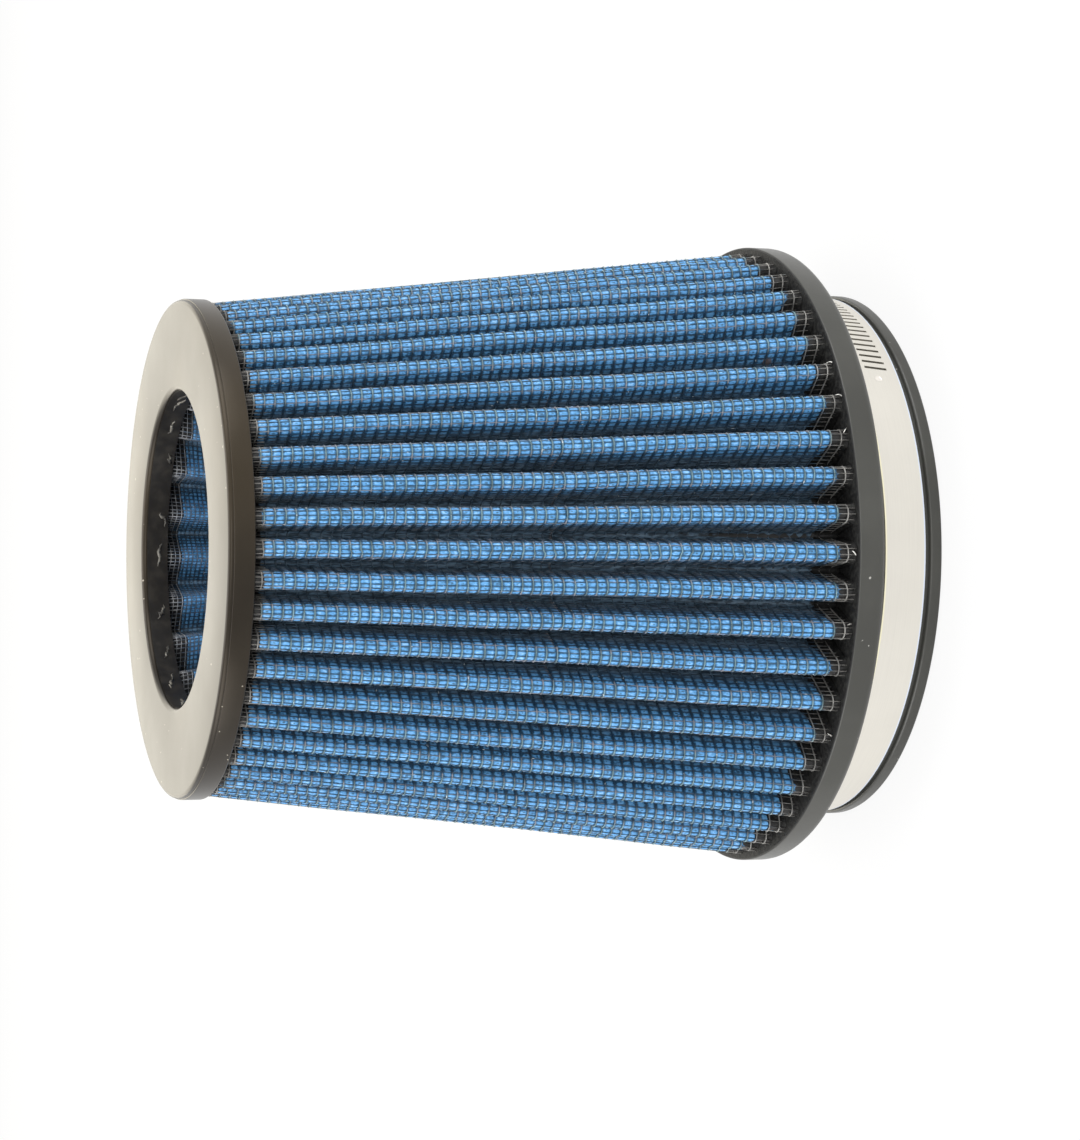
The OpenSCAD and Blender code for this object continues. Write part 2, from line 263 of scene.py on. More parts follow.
def on_pleats(wall, turn, z, offset):
    """Points and outward normals of a pleated sheet.

    turn counts pleats from the first crest, z is the height, and offset is measured outwards
    from the middle of the media. All three are arrays that broadcast together.
    """
    turn, z, offset = np.broadcast_arrays(
        np.asarray(turn, float), np.asarray(z, float), np.asarray(offset, float))
    share = share_of(wall, z)
    outer = wall.low[1] + share * (wall.high[1] - wall.low[1]) - wall.half - wall.bend
    inner = wall.low[2] + share * (wall.high[2] - wall.low[2]) + wall.half + wall.bend
    half_turn = math.pi / wall.pleats
    dx = inner * math.cos(half_turn) - outer
    dy = inner * math.sin(half_turn)
    span = np.hypot(dx, dy)
    lean = np.arctan2(dy, dx) - np.arccos(2 * wall.bend / span)
    crest_radius = wall.bend + wall.reference
    valley_radius = wall.bend - wall.reference
    crest_arc = crest_radius * lean
    straight = np.sqrt(span ** 2 - 4 * wall.bend ** 2)
    valley_arc = valley_radius * (lean - half_turn)
    nearest = np.round(turn)
    along = turn - nearest
    run = 2 * np.abs(along) * (crest_arc + straight + valley_arc)
    at_crest = run < crest_arc
    at_valley = run > crest_arc + straight
    angle = np.where(at_crest, run / crest_radius, lean)
    angle = np.where(at_valley, lean - (run - crest_arc - straight) / valley_radius, angle)
    crest_x = outer + (wall.bend + offset) * np.cos(angle)
    crest_y = (wall.bend + offset) * np.sin(angle)
    valley_x = inner * math.cos(half_turn) - (wall.bend - offset) * np.cos(angle)
    valley_y = inner * math.sin(half_turn) - (wall.bend - offset) * np.sin(angle)
    between = np.clip((run - crest_arc) / straight, 0, 1)
    x = crest_x + (valley_x - crest_x) * between
    y = crest_y + (valley_y - crest_y) * between
    side = np.where(along < 0, -1.0, 1.0)
    pleat = nearest.astype(int) % wall.pleats
    sideways, outwards = stray_at(wall, pleat, z, np.cos(math.pi * along) ** 2)
    x = x + outwards
    y = y * side + sideways
    at = wall.phase + 2 * math.pi * nearest / wall.pleats
    points = np.stack([x * np.cos(at) - y * np.sin(at), x * np.sin(at) + y * np.cos(at), z], -1)
    facing = at + side * angle
    normals = np.stack([np.cos(facing), np.sin(facing), np.zeros_like(facing)], -1)
    return points, normals


# Where the wires of a screen run

Screen = namedtuple("Screen", "wall cells rings low high wander wave swell")


def screen_of(wall, cells, pitch, seed, swell=1.0):
    """The grid of a screen: its wires wander a little, and the gauze swells between them.

    swell scales the swollen cells and the ring wires, which are smaller in a finer cloth.
    """
    overlap = 0.8 * MM
    low = wall.low[0] - overlap
    high = wall.high[0] + overlap
    rings = round((high - low) / pitch)
    draw = np.random.default_rng(seed)
    knots = draw.normal(0, 1, (6, 4))
    jitter = draw.normal(0, 0.035, cells)
    wave = draw.normal(0, 0.03, rings + 1)
    return Screen(wall, cells, rings, low, high, (knots, jitter), wave, swell)


def screen_grid(screen):
    """Turn of every upright wire and height of every ring wire at their crossings."""
    knots, jitter = screen.wander
    ring = np.arange(screen.rings + 1)
    wire = np.arange(screen.cells)
    share = ring[:, None] / screen.rings
    way = 2 * math.pi * wire[None, :] / screen.cells
    sway = sum(
        0.10 * knot[0] * np.sin(way * (k + 2) + knot[1] * 3 + share * (3 + 5 * abs(knot[2])))
        for k, knot in enumerate(knots))
    turn = screen.wall.pleats * (wire[None, :] + jitter[None, :] + sway) / screen.cells
    pitch = (screen.high - screen.low) / screen.rings
    dip = sum(
        0.07 * knot[3] * np.sin(way * (3 * k + 2) + knot[1] + share * 2)
        for k, knot in enumerate(knots))
    fold = 0.10 * np.sin(way * screen.wall.pleats / 2 + ring[:, None] * 0.7)
    loose = np.sin(math.pi * share) ** 0.3
    height = screen.low + pitch * (ring[:, None] + (screen.wave[:, None] + dip + fold) * loose)
    return turn, height


def middles(grid, period=0.0):
    """The middle of every cell of a grid that is closed round."""
    after = np.concatenate([grid[:, 1:], grid[:, :1] + period], 1)
    return (grid[:-1] + grid[1:] + after[:-1] + after[1:]) / 4


def smooth_step(low, high, value):
    share = np.clip((value - low) / (high - low), 0, 1)
    return share * share * (3 - 2 * share)


def depth_of(turn):
    """0 on a crest and 1 in a fold."""
    return 2 * np.abs(turn - np.round(turn))


def crest_rise(turn, crest, valley):
    """Height of a soaked edge that climbs from the crests into the folds."""
    return crest + (valley - crest) * smooth_step(0.12, 0.8, depth_of(turn))


def turns_of(wall, halves):
    """The same places on every pleat; halves lists them from the crest, 0, to the fold, 1."""
    per_pleat = np.concatenate([-halves[:0:-1], halves[:-1]]) / 2
    return (np.arange(wall.pleats)[:, None] + per_pleat[None, :]).ravel()


# Mesh building

def deselect():
    for thing in bpy.context.selected_objects:
        thing.select_set(False)


def active_only(piece):
    deselect()
    piece.select_set(True)
    bpy.context.view_layer.objects.active = piece


def mesh_piece(name, points, *groups):
    """A smooth object from an array of points and arrays of faces, each with its corner count."""
    mesh = bpy.data.meshes.new(name)
    mesh.vertices.add(len(points))
    mesh.vertices.foreach_set("co", np.ascontiguousarray(points, np.float32).ravel())
    corners = np.concatenate([group.ravel() for group in groups]).astype(np.int32)
    counts = np.concatenate([np.full(len(group), group.shape[1]) for group in groups])
    starts = np.concatenate([[0], np.cumsum(counts)[:-1]]).astype(np.int32)
    mesh.loops.add(len(corners))
    mesh.loops.foreach_set("vertex_index", corners)
    mesh.polygons.add(len(counts))
    mesh.polygons.foreach_set("loop_start", starts)
    mesh.polygons.foreach_set("use_smooth", np.full(len(counts), True))
    mesh.update(calc_edges=True)
    mesh.validate()
    piece = bpy.data.objects.new(name, mesh)
    bpy.context.scene.collection.objects.link(piece)
    return piece


def grid_faces(rows, columns):
    """Quads of a grid that is closed round and whose points run row by row."""
    row = np.arange(rows - 1)[:, None]
    column = np.arange(columns)[None, :]
    after = (column + 1) % columns
    quads = np.stack([
        row * columns + column, row * columns + after,
        (row + 1) * columns + after, (row + 1) * columns + column], -1)
    return quads.reshape(-1, 4)


def give_points(piece, name, values):
    """One number for each point of a piece, which its material reads by name."""
    layer = piece.data.attributes.new(name, "FLOAT", "POINT")
    layer.data.foreach_set("value", np.ascontiguousarray(values, np.float32).ravel())


def wire_bundle(name, paths, normals, radius, closed, sides=3):
    """Many thin wires in one piece: one row of points and one of radii for each wire."""
    wires, points, _ = paths.shape
    if closed:
        ahead = np.roll(paths, -1, 1)
        behind = np.roll(paths, 1, 1)
    else:
        ahead = np.concatenate([paths[:, 1:], paths[:, -1:]], 1)
        behind = np.concatenate([paths[:, :1], paths[:, :-1]], 1)
    tangent = ahead - behind
    tangent /= np.linalg.norm(tangent, axis=-1, keepdims=True)
    side = np.cross(tangent, normals)
    side /= np.linalg.norm(side, axis=-1, keepdims=True)
    up = np.cross(side, tangent)
    around = 2 * math.pi * np.arange(sides) / sides
    thick = radius[:, :, None, None]
    rings = (
        paths[:, :, None, :]
        + thick * np.cos(around)[None, None, :, None] * up[:, :, None, :]
        + thick * np.sin(around)[None, None, :, None] * side[:, :, None, :])
    steps = points if closed else points - 1
    step = np.arange(steps)[:, None]
    after = (step + 1) % points
    corner = np.arange(sides)[None, :]
    beside = (corner + 1) % sides
    quads = np.stack([
        step * sides + corner, step * sides + beside,
        after * sides + beside, after * sides + corner], -1).reshape(-1, 4)
    faces = (np.arange(wires)[:, None, None] * points * sides + quads[None]).reshape(-1, 4)
    if closed:
        return mesh_piece(name, rings.reshape(-1, 3), faces)
    first = np.arange(wires)[:, None] * points * sides + np.arange(sides)[None, ::-1]
    last = first[:, ::-1] + (points - 1) * sides
    return mesh_piece(name, rings.reshape(-1, 3), faces, first, last)


def use_finish(piece, material):
    piece.data.materials.clear()
    piece.data.materials.append(material)


def finish_piece(piece, material, body, slot, *nodes):
    """The material, the body that carries a piece, its slot, which is not used, and the nodes that it
    stands for.
    """
    use_finish(piece, material)
    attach(piece, body)
    if nodes:
        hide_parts(*nodes)
    return piece


# Materials

class Signal:
    """A number that changes over a surface; arithmetic on it adds Math nodes."""

    def __init__(self, nodes, socket):
        self.nodes = nodes
        self.socket = socket

    def math(self, operation, *values):
        node = self.nodes.node("ShaderNodeMath", {"operation": operation}, dict(enumerate(values)))
        return Signal(self.nodes, node.outputs[0])

    def __add__(self, other):
        return self.math("ADD", self, other)

    __radd__ = __add__

    def __sub__(self, other):
        return self.math("SUBTRACT", self, other)

    def __rsub__(self, other):
        return self.math("SUBTRACT", other, self)

    def __mul__(self, other):
        return self.math("MULTIPLY", self, other)

    __rmul__ = __mul__

    def between(self, low, high):
        """0 below low, 1 above high and a smooth step between them."""
        node = self.nodes.node(
            "ShaderNodeMapRange", {"interpolation_type": "SMOOTHSTEP", "clamp": True},
            {"Value": self, "From Min": low, "From Max": high, "To Min": 0.0, "To Max": 1.0})
        return Signal(self.nodes, node.outputs[0])

    def fraction(self):
        return self.math("FRACT", self)

    def absolute(self):
        return self.math("ABSOLUTE", self)

    def larger(self, other):
        return self.math("MAXIMUM", self, other)


def scaled(colour, share):
    return tuple(part * share for part in colour)


class Nodes:
    """The node tree of a material or a world under construction."""

    def __init__(self, owner):
        owner.use_nodes = True
        self.tree = owner.node_tree

    def node(self, kind, settings=None, inputs=None):
        """A node of any kind: its settings first, then the values or links of its sockets."""
        made = self.tree.nodes.new(kind)
        for name, value in (settings or {}).items():
            setattr(made, name, value)
        for socket, value in (inputs or {}).items():
            self.connect(made.inputs[socket], value)
        return made

    def connect(self, socket, value):
        if isinstance(value, Signal):
            self.tree.links.new(value.socket, socket)
        elif isinstance(value, bpy.types.NodeSocket):
            self.tree.links.new(value, socket)
        else:
            socket.default_value = value

    def shown_white(self):
        """1 for the rays that see the backdrop: from the camera, in gloss and through glass."""
        rays = self.node("ShaderNodeLightPath").outputs
        seen = Signal(self, rays["Is Camera Ray"])
        return seen.larger(rays["Is Glossy Ray"]).larger(rays["Is Transmission Ray"])

    def mix_shaders(self, share, first, second, end):
        """Leads a mix of two shaders to the node that ends the tree."""
        mixed = self.node("ShaderNodeMixShader", None, {0: share, 1: first, 2: second})
        self.connect(self.tree.nodes[end].inputs["Surface"], mixed.outputs[0])


class Paint(Nodes):
    """A material under construction round one Principled shader."""

    def __init__(self, name, **constants):
        self.material = bpy.data.materials.new(name)
        super().__init__(self.material)
        self.shader = self.tree.nodes["Principled BSDF"]
        for socket, value in constants.items():
            self.shader.inputs[socket.replace("_", " ")].default_value = value

    def places(self):
        return self.node("ShaderNodeTexCoord").outputs["Object"]

    def axes(self, socket):
        parts = self.node("ShaderNodeSeparateXYZ", None, {0: socket}).outputs
        return [Signal(self, part) for part in parts]

    def cells(self):
        return self.node("ShaderNodeUVMap", {"uv_map": "cells"}).outputs[0]

    def attribute(self, name):
        found = self.node("ShaderNodeAttribute", {"attribute_name": name})
        return Signal(self, found.outputs["Fac"])

    def noise(self, places, scale, detail=3.0, roughness=0.55):
        made = self.node(
            "ShaderNodeTexNoise", None,
            {"Vector": places, "Scale": scale, "Detail": detail, "Roughness": roughness})
        return Signal(self, made.outputs["Fac"])

    def stretched(self, places, scale):
        return self.node(
            "ShaderNodeMapping", {"vector_type": "TEXTURE"},
            {"Vector": places, "Scale": scale}).outputs[0]

    def spot(self, places, centre, radius):
        """1 inside a ball round centre and 0 outside, with a soft edge."""
        away = self.node(
            "ShaderNodeVectorMath", {"operation": "DISTANCE"}, {0: places, 1: centre})
        return 1 - Signal(self, away.outputs["Value"]).between(radius * 0.6, radius)

    def blend(self, share, first, second):
        """A colour between two colours."""
        made = self.node("ShaderNodeMix", {"data_type": "RGBA"}, {0: share})
        self.connect(made.inputs[6], self.colour(first))
        self.connect(made.inputs[7], self.colour(second))
        return made.outputs[2]

    @staticmethod
    def colour(value):
        if isinstance(value, (bpy.types.NodeSocket, Signal)):
            return value
        return (*value, 1.0) if len(value) == 3 else tuple(value)

    def bump(self, height, distance, strength):
        return self.node(
            "ShaderNodeBump", None,
            {"Strength": strength, "Distance": distance, "Height": height}).outputs[0]

    def feed(self, **inputs):
        for name, value in inputs.items():
            socket = self.shader.inputs[name.replace("_", " ")]
            self.connect(socket, self.colour(value) if "Color" in name else value)
        return self.material


# Painted shade: the colours that the gauze and the wires are painted on the flanks and deep in the
# folds, darker with depth.
FLANK_SHADE_BLUE = (0.120, 0.350, 0.630)
FLANK_SHADE_DARK = (0.018, 0.065, 0.125)
FOLD_SHADE_SLATE = (0.135, 0.215, 0.300)
FOLD_SHADE_DARK = (0.035, 0.062, 0.090)
CONE_BLUE = (0.15, 0.22, 0.32)
CONE_EDGE = (0.16, 0.19, 0.24)
BROWN_MARK = (55.6 * MM, -65.2 * MM, 48.8 * MM)
BAND_FACE = 80.6 * MM
DIMPLE_TURN = math.radians(-50)
DIMPLE = (BAND_FACE * math.cos(DIMPLE_TURN), BAND_FACE * math.sin(DIMPLE_TURN), 11.9 * MM)


def gauze_finish():
    """Blue oiled gauze: bright swollen cells with painted highlights, painted shade beside the wires,
    painted shade from dusky blue to slate deep in the folds, and black where soaked.
    """
    paint = Paint("cotton_gauze", Sheen_Weight=0.35, Sheen_Roughness=0.3,
                  Sheen_Tint=(0.95, 0.85, 0.85, 1.0))
    places = paint.places()
    across, up, _ = paint.axes(paint.cells())
    beside = (across.fraction() - 0.5).absolute() * 2
    above = (up.fraction() - 0.5).absolute() * 2
    near_wire = beside.between(0.35, 0.95)
    near_ring = above.between(0.35, 0.8)
    # Painted shade: the gauze is painted darker beside the wires and darkest at their crossings; the
    # same mask also dents the bump where the wires hold the gauze down.
    pressed_and_shaded = near_wire.larger(near_ring) + near_wire * near_ring * 0.8
    cell = paint.noise(places, 420, 1.0)
    threads = paint.noise(paint.stretched(places, (1, 1, 2.2)), 1700, 1.0)
    dash = (1 - beside.between(0.1, 0.5)) * (1 - above.between(0.10, 0.40))
    dash = dash * paint.noise(places, 620, 0.0).between(0.45, 0.58)
    shade = pressed_and_shaded * 0.85 + (0.5 - threads) * 2.4 + (0.5 - cell) * 1.6 + dash * 0.8 + 0.05
    blue = paint.blend(shade.between(0.0, 1.15), colours().gauze, colours().gauze_shaded_edge)
    # Painted highlight: the swollen cells are painted paler where the noise peaks away from the wires,
    # and made a little less rough there.
    painted_gleam = (threads * 0.6 + cell * 0.4).between(0.53, 0.66) * (1 - pressed_and_shaded.between(0.1, 0.7))
    bright = paint.blend(painted_gleam * 0.75, blue, colours().gauze_painted_gleam)
    # Painted shade: with depth into a fold the gauze is painted from dusky blue on the flanks to dark
    # slate in the fold.
    depth = paint.attribute("depth") + (cell - 0.5) * 0.16
    dusky = paint.blend(shade.between(0.0, 0.9), FLANK_SHADE_BLUE, FLANK_SHADE_DARK)
    flank = paint.blend(depth.between(0.17, 0.42), bright, dusky)
    deep = depth.between(0.36, 0.66)
    strokes = paint.noise(paint.stretched(places, (1, 1, 5)), 1500, 1.0).between(0.42, 0.62)
    folded = paint.blend(deep, flank, paint.blend(strokes, FOLD_SHADE_DARK, FOLD_SHADE_SLATE))
    mark = paint.spot(places, BROWN_MARK, radius=1.7 * MM)
    marked = paint.blend(mark * 0.8, folded, (0.16, 0.10, 0.07))
    soaked = paint.attribute("soaked") + (paint.noise(places, 500, 2.0) - 0.5) * 0.5
    soaked = soaked.between(0.4, 0.6)
    height = threads * 0.6 - pressed_and_shaded * 0.5
    return paint.feed(
        Base_Color=paint.blend(soaked, marked, (0.010, 0.010, 0.010)),
        Roughness=0.50 - painted_gleam * 0.15 + soaked * 0.1,
        Normal=paint.bump(height, 0.2 * MM, 0.7))


def wire_finish(name, over_gauze, edge, bare_colour):
    """Coated screen wire, tinted by the oil over the gauze and grey where it stands free, with the
    edge colour beside the crests, a painted highlight on the wall, painted shade on the flanks and in
    the folds, and painted glints.
    """
    paint = Paint(name, Metallic=0.0, Coat_Weight=0.25, Coat_Roughness=0.3)
    places = paint.places()
    depth = paint.attribute("depth") + (paint.noise(places, 420, 1.0) - 0.5) * 0.16
    patchy = paint.noise(places, 330, 2.0).between(0.35, 0.65)
    darker = scaled(over_gauze, 0.5)
    oiled = paint.blend(patchy, over_gauze, darker)
    # The edge colour beside the crests is a painted highlight on the wall; then painted shade darkens
    # with depth on the flanks and in the folds.
    edged = paint.blend(depth.between(0.10, 0.16), oiled, paint.blend(patchy, edge, darker))
    flank = paint.blend(depth.between(0.20, 0.30), edged, paint.blend(patchy, FLANK_SHADE_DARK, FOLD_SHADE_DARK))
    deep = paint.blend(depth.between(0.50, 0.70), flank, paint.blend(patchy, FOLD_SHADE_SLATE, FOLD_SHADE_DARK))
    bare = paint.attribute("bare") + (paint.noise(places, 420, 2.0) - 0.5) * 0.6
    bright_bare = paint.blend(patchy, bare_colour, scaled(bare_colour, 0.45))
    mixed = paint.blend(bare.between(0.4, 0.65), deep, bright_bare)
    # Painted glints: small pale spots in the wire's colour.
    glint = paint.noise(places, 800, 0.0).between(0.80, 0.84)
    return paint.feed(
        Base_Color=paint.blend(glint * 0.7, mixed, (0.75, 0.80, 0.80)),
        Roughness=0.45 - glint * 0.2)


def backing_finish():
    """Plain coated wire of the screens on the clean side."""
    paint = Paint("backing_wire", Metallic=0.0, Coat_Weight=0.4, Coat_Roughness=0.2)
    places = paint.places()
    patchy = paint.noise(places, 300, 2.0).between(0.3, 0.75)
    return paint.feed(
        Base_Color=paint.blend(patchy, (0.14, 0.15, 0.15), (0.25, 0.26, 0.25)), Roughness=0.4)


def base_finish():
    """Matte cast urethane of the base: faint clouds, dust and very few pale specks."""
    paint = Paint("cast_base", Coat_Weight=0.0)
    places = paint.places()
    cloud = paint.noise(places, 38, 4.0)
    grain = paint.noise(places, 900, 3.0)
    tone = colours().urethane
    dusty = tuple(min(1, part * 1.25 + 0.006) for part in tone)
    coloured = paint.blend(cloud.between(0.35, 0.8), tone, dusty)
    speck = paint.noise(places, 700, 0.0).between(0.86, 0.88)
    dotted = paint.blend(speck, coloured, (0.42, 0.41, 0.38))
    height = paint.axes(places)[2]
    poured = height.between(BASE_TOP - 0.25 * MM, BASE_TOP - 0.10 * MM)
    return paint.feed(
        Base_Color=paint.blend(poured, dotted, (0.010, 0.010, 0.010)),
        Roughness=0.36 + (cloud - 0.5) * 0.12 + (grain - 0.5) * 0.1 + poured * 0.3,
        Normal=paint.bump(grain, 0.04 * MM, 0.4))


def nose_finish():
    """Satin urethane of the nose ring, brown-black with a faint mottle."""
    paint = Paint("cast_nose", IOR=1.5, Specular_Tint=(0.58, 0.50, 0.40, 1.0))
    places = paint.places()
    cloud = paint.noise(places, 45, 4.0)
    grain = paint.noise(places, 1000, 2.0)
    tone = colours().nose_urethane
    speck = paint.noise(places, 700, 0.0).between(0.85, 0.87)
    coloured = paint.blend(cloud.between(0.3, 0.75), tone, scaled(tone, 1.6))
    glow = paint.noise(paint.stretched(places, (1, 1, 4)), 11, 2.0).between(0.42, 0.66)
    toned = paint.blend(glow * 0.6, coloured, (0.048, 0.037, 0.023))
    return paint.feed(
        Base_Color=paint.blend(speck, toned, (0.35, 0.32, 0.26)),
        Roughness=0.30 + (cloud - 0.5) * 0.10,
        Normal=paint.bump(grain * 0.5 + cloud, 0.03 * MM, 0.3))


def liner_finish():
    """Glossy black skin on the wall of the nose hole, where the mould's liner wrinkled."""
    paint = Paint("hole_skin", Coat_Weight=0.0)
    places = paint.places()
    lumps = paint.noise(places, 300, 3.0)
    return paint.feed(
        Base_Color=paint.blend(
            lumps.between(0.4, 0.7), (0.016, 0.013, 0.010), (0.030, 0.025, 0.019)),
        Roughness=0.36 + (lumps - 0.5) * 0.2,
        Normal=paint.bump(lumps, 0.1 * MM, 0.4))


def ridge_finish():
    """The skin's raised edge, painted pale in places as a highlight."""
    paint = Paint("hole_ridge", Coat_Weight=0.0)
    places = paint.places()
    # Painted highlight: pale patches on the ridges, where their gloss catches the light.
    ridge_highlight = paint.noise(places, 260, 2.0).between(0.42, 0.56)
    return paint.feed(
        Base_Color=paint.blend(ridge_highlight, (0.02, 0.017, 0.013), (0.21, 0.195, 0.165)),
        Roughness=0.4 - ridge_highlight * 0.1)


def wick_finish():
    """Black urethane that has run into the folds."""
    paint = Paint("wicked_urethane", Coat_Weight=0.0, Specular_IOR_Level=0.2)
    places = paint.places()
    lumps = paint.noise(places, 700, 4.0, 0.65)
    return paint.feed(
        Base_Color=paint.blend(lumps.between(0.4, 0.7), (0.008, 0.008, 0.008), (0.03, 0.03, 0.028)),
        Roughness=0.62 + (lumps - 0.5) * 0.4,
        Normal=paint.bump(lumps, 0.5 * MM, 0.9))


def tip_finish():
    """Bright metal of a cut wire end, worn in places."""
    paint = Paint("bright_tip", Metallic=0.6, Roughness=0.3)
    worn = paint.noise(paint.places(), 700, 1.0).between(0.4, 0.6)
    return paint.feed(Base_Color=paint.blend(worn, (0.75, 0.74, 0.70), (0.30, 0.29, 0.27)))


def band_finish():
    """Satin stainless strip with fine rolling lines, painted highlights along its upper and lower
    edges and the pale dimple beside its last slot.
    """
    paint = Paint("stainless_band", Metallic=1.0)
    places = paint.places()
    lines = paint.noise(paint.stretched(places, (1, 1, 0.02)), 60, 4.0)
    mottle = paint.noise(places, 55, 3.0)
    dimple = paint.spot(places, DIMPLE, radius=1.3 * MM)
    tone = colours().stainless
    rolled_and_highlit = paint.blend((lines * 0.5 + mottle * 0.5).between(0.3, 0.8), tone, scaled(tone, 0.93))
    height = paint.axes(places)[2]
    # Painted highlights: a pale yellow line along the upper edge and a bluish white line along the
    # lower edge, where the band's edges catch the light.
    upper = height.between(BAND_TOP - 0.55 * MM, BAND_TOP - 0.35 * MM)
    lower = 1 - height.between(BAND_BOTTOM + 0.3 * MM, BAND_BOTTOM + 0.5 * MM)
    rolled_and_highlit = paint.blend(upper, rolled_and_highlit, (0.95, 0.90, 0.66))
    rolled_and_highlit = paint.blend(lower, rolled_and_highlit, (0.78, 0.84, 0.95))
    return paint.feed(
        Base_Color=paint.blend(dimple * 0.7, rolled_and_highlit, (0.95, 0.90, 0.84)),
        Roughness=0.36 + (lines - 0.5) * 0.10,
        Normal=paint.bump(lines * 0.2 - dimple, 0.15 * MM, 0.6))


def housing_finish():
    """Pressed stainless sheet of the worm's housing, with small scratches."""
    paint = Paint("stainless_housing", Metallic=1.0)
    places = paint.places()
    scratches = paint.noise(paint.stretched(places, (0.1, 0.1, 1.0)), 900, 3.0)
    cloud = paint.noise(places, 180, 3.0)
    tone = colours().stainless
    return paint.feed(
        Base_Color=paint.blend(cloud.between(0.4, 0.7), tone, scaled(tone, 0.85)),
        Roughness=0.30 + (scratches - 0.5) * 0.2,
        Normal=paint.bump(scratches, 0.01 * MM, 0.4))


def screw_finish():
    """Plated steel of the worm, a little duller in its thread."""
    paint = Paint("worm_steel", Metallic=1.0)
    places = paint.places()
    wear = paint.noise(places, 240, 4.0)
    tone = colours().screw_steel
    return paint.feed(
        Base_Color=paint.blend(wear.between(0.35, 0.7), tone, scaled(tone, 0.7)),
        Roughness=0.28 + (wear - 0.5) * 0.25,
        Normal=paint.bump(wear, 0.02 * MM, 0.4))


# Pieces of the media

def soaked_at(wall, turn, height, outward):
    """1 where the gauze is soaked with urethane: above the base and under the nose ring."""
    if outward < 0:
        return smooth_step(-1.3 * MM, 0.9 * MM, height - (wall.high[0] - CONE_CLIMB))
    nose_edge = wall.high[0] - crest_rise(turn, sizes().nose_climb, 1.6 * sizes().nose_climb)
    at_nose = smooth_step(-0.6 * MM, 0.6 * MM, height - nose_edge)
    base_edge = BASE_TOP + crest_rise(turn, sizes().climb_crest, sizes().climb_valley)
    return np.maximum(at_nose, 1 - smooth_step(-0.7 * MM, 0.7 * MM, height - base_edge))


def pillow_faces(rows, columns):
    """Four triangles in each cell of a band, which meet in its middle, and the band's two edges.

    The points are the grid row by row, the cells' middles, and the first and last row of the back.
    """
    quads = grid_faces(rows, columns)
    middle = rows * columns + np.arange(len(quads))
    cells = [np.stack([quads[:, k], quads[:, (k + 1) % 4], middle], -1) for k in range(4)]
    top = (rows - 1) * columns
    back = rows * columns + top
    back_top = back + columns
    ring = np.arange(columns)
    beside = (ring + 1) % columns
    shut = [
        (back + ring, back_top + ring, back_top + beside),
        (back + ring, back_top + beside, back + beside),
        (ring, back + ring, back + beside), (ring, back + beside, beside),
        (top + ring, top + beside, back_top + beside),
        (top + ring, back_top + beside, back_top + ring)]
    return np.concatenate(cells + [np.stack(face, -1) for face in shut])


def band_values(grid, middle):
    """Values in the order of a band's points: its grid, its cells' middles and its back."""
    return np.concatenate([grid.ravel(), middle.ravel(), grid[0], grid[-1]])


def count_cells(piece, faces, rows, columns, first):
    """A UV map that counts the wires across and the rings up, with no jump at the seam."""
    up, across = np.indices((rows, columns))
    up = band_values(up, up[:-1] + 0.5)[faces]
    across = band_values(across, across[:-1] + 0.5)[faces]
    wrapped = across.max(1, keepdims=True) - across > columns / 2
    pairs = np.stack([np.where(wrapped, across + columns, across), first + up], -1)
    layer = piece.data.uv_layers.new(name="cells")
    layer.data.foreach_set("uv", np.ascontiguousarray(pairs, np.float32).ravel())


def swollen_gauze(name, screen, first, last, outward, material):
    """A height band of the gauze: swollen between the wires outside and plain inside.

    outward is 1 for the wall, whose outside shows, and -1 for the cone, whose inside shows.
    Every cell of the screen has a point in its middle, which the gauze swells up to.
    """
    wall = screen.wall
    turn, height = screen_grid(screen)
    turn, height = turn[first:last + 1], height[first:last + 1]
    turn_mid, height_mid = middles(turn, wall.pleats), middles(height)
    soaked = soaked_at(wall, turn, height, outward)
    soaked_mid = soaked_at(wall, turn_mid, height_mid, outward)
    draw = np.random.default_rng(screen.cells + first)
    swell = draw.uniform(0.7, 1.2, turn_mid.shape) * sizes().pillow * screen.swell
    sunk = GAUZE_HALF * 0.85
    shrunk = 0.25 * MM
    front, _ = on_pleats(wall, turn, height, outward * (sunk - shrunk * soaked))
    tops, _ = on_pleats(
        wall, turn_mid, height_mid,
        outward * (sunk + swell * (1 - 0.9 * soaked_mid) - shrunk * soaked_mid))
    back, _ = on_pleats(wall, turn[[0, -1]], height[[0, -1]], -outward * GAUZE_HALF)
    points = np.concatenate([part.reshape(-1, 3) for part in (front, tops, back)])
    faces = pillow_faces(*turn.shape)
    if outward < 0:
        faces = faces[:, ::-1]
    piece = mesh_piece(name, points, faces)
    give_points(piece, "soaked", band_values(soaked, soaked_mid))
    depth, depth_mid = screen_depth(turn, outward), screen_depth(turn_mid, outward)
    give_points(piece, "depth", band_values(depth, depth_mid))
    count_cells(piece, faces, *turn.shape, first)
    finish_piece(piece, material, "filter", "oiled_gauze")
    return piece


def screen_depth(turn, outward):
    """0 on the folds that a viewer sees first and 1 deep in the folds of the wall between them.

    The materials paint shade by it, darker deeper in the folds. The cone's folds are shallow for their
    width, so they get less of that painted shade.
    """
    return depth_of(turn) if outward > 0 else 0.55 * (1 - depth_of(turn))


